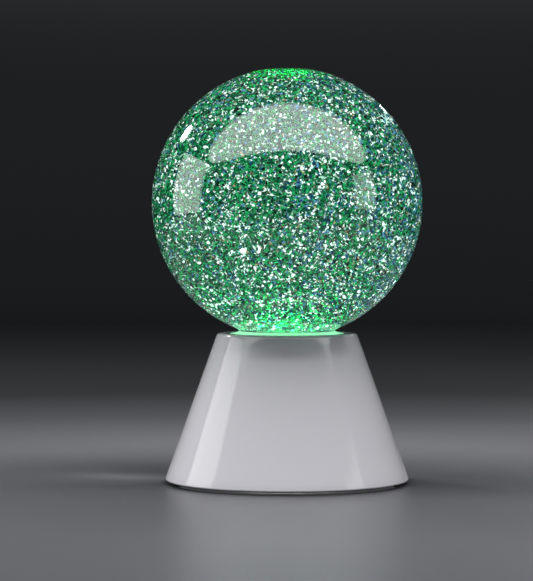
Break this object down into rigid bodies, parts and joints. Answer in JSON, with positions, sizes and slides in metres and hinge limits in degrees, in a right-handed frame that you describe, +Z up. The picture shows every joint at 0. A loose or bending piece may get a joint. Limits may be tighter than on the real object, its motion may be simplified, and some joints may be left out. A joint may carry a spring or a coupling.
{
  "type": "glitter globe lamp",
  "caption": "Liquid-filled glass ball with swirling glitter on a conical base, lit from below and stirred by a hidden magnetic drive.",
  "frame": {"origin": "centre of the footprint, on the surface the lamp stands on", "axes": "+Z up along the axis of the ball and cone, -Y to the front, +Y to the power socket and switch"},
  "size_m": [0.125, 0.125, 0.1918],
  "materials": {
    "clear_glass": "blown borosilicate glass, polished, clear",
    "glitter_liquid": "clear liquid full of silver, green and iridescent flakes, lit green from below",
    "white_abs": "injection-moulded white ABS with a high gloss",
    "black_abs": "black ABS with a fine moulded texture",
    "frosted_acrylic": "frosted translucent acrylic",
    "white_acetal": "machined natural acetal",
    "clear_polycarbonate": "clear moulded polycarbonate",
    "silicone_seal": "translucent silicone rubber",
    "black_rubber": "black synthetic rubber",
    "stainless_steel": "ground stainless steel",
    "zinc_steel": "bright zinc-plated steel",
    "nickel_plate": "bright nickel plate",
    "ferrite": "sintered ferrite, dark grey",
    "silicon_steel": "stacked electrical steel laminations",
    "enamelled_copper": "enamelled copper wire, wound in layers",
    "sintered_bronze": "oil-filled sintered bronze",
    "circuit_board": "green solder mask on glass-epoxy board",
    "light_package": "white light-emitting diode packages",
    "cell_jacket": "printed foil jacket over a steel can, plain blue",
    "black_epoxy": "moulded black epoxy",
    "black_pvc": "black PVC insulation",
    "red_pvc": "red PVC insulation"
  },
  "bodies": {
    "base": {"globe_shell": "clear_glass", "liquid_fill": "glitter_liquid", "globe_plug": "clear_polycarbonate", "plug_seal": "silicone_seal", "lip_gasket": "silicone_seal", "fill_bung": "silicone_seal", "pivot_pin": "stainless_steel", "thrust_washer": "white_acetal", "pin_retainer": "stainless_steel", "base_housing": "white_abs", "light_ring": "frosted_acrylic", "globe_clamp": "black_abs", "clamp_screws": "zinc_steel", "motor_bracket": "black_abs", "bracket_screws": "zinc_steel", "motor_screws": "zinc_steel", "motor_can": "nickel_plate", "motor_end_cap": "black_epoxy", "motor_bushes": "sintered_bronze", "field_magnet": "ferrite", "motor_terminals": "nickel_plate", "motor_brushes": "nickel_plate", "light_board": "circuit_board", "light_chips": "light_package", "light_board_screws": "zinc_steel", "base_plate": "black_abs", "base_plate_screws": "zinc_steel", "rubber_feet": "black_rubber", "battery_cells": "cell_jacket", "contact_plates": "nickel_plate", "contact_springs": "nickel_plate", "control_board": "circuit_board", "control_board_screws": "zinc_steel", "board_parts": "black_epoxy", "power_socket": "nickel_plate", "socket_tongue": "black_epoxy", "switch_body": "nickel_plate", "battery_lead_black": "black_pvc", "battery_lead_red": "red_pvc", "motor_lead_black": "black_pvc", "motor_lead_red": "red_pvc", "light_leads": "red_pvc"},
    "rotor": {"motor_shaft": "stainless_steel", "drive_disc": "white_acetal", "drive_magnets": "nickel_plate", "armature_core": "silicon_steel", "armature_windings": "enamelled_copper", "commutator": "enamelled_copper"},
    "impeller": {"impeller": "white_acetal", "impeller_magnets": "nickel_plate"},
    "switch": {"switch_slider": "black_abs"},
    "door": {"battery_door": "black_abs"}
  },
  "joints": [
    {"name": "rotor_spin", "type": "hinge", "parent": "base", "child": "rotor", "pos_m": [0, 0, 0.03], "axis": [0, 0, 1], "continuous": true},
    {"name": "impeller_spin", "type": "hinge", "parent": "base", "child": "impeller", "pos_m": [0, 0, 0.056], "axis": [0, 0, 1], "continuous": true},
    {"name": "switch_slide", "type": "slide", "parent": "base", "child": "switch", "axis": [-1, 0, 0], "range_m": [0, 0.003]},
    {"name": "battery_door_hinge", "type": "hinge", "parent": "base", "child": "door", "pos_m": [0, -0.0328, 0.0015], "axis": [-1, 0, 0], "range_deg": [0, 90]}
  ],
  "couplings": [
    {"joint": "impeller_spin", "follows": "rotor_spin", "ratio": 1}
  ]
}
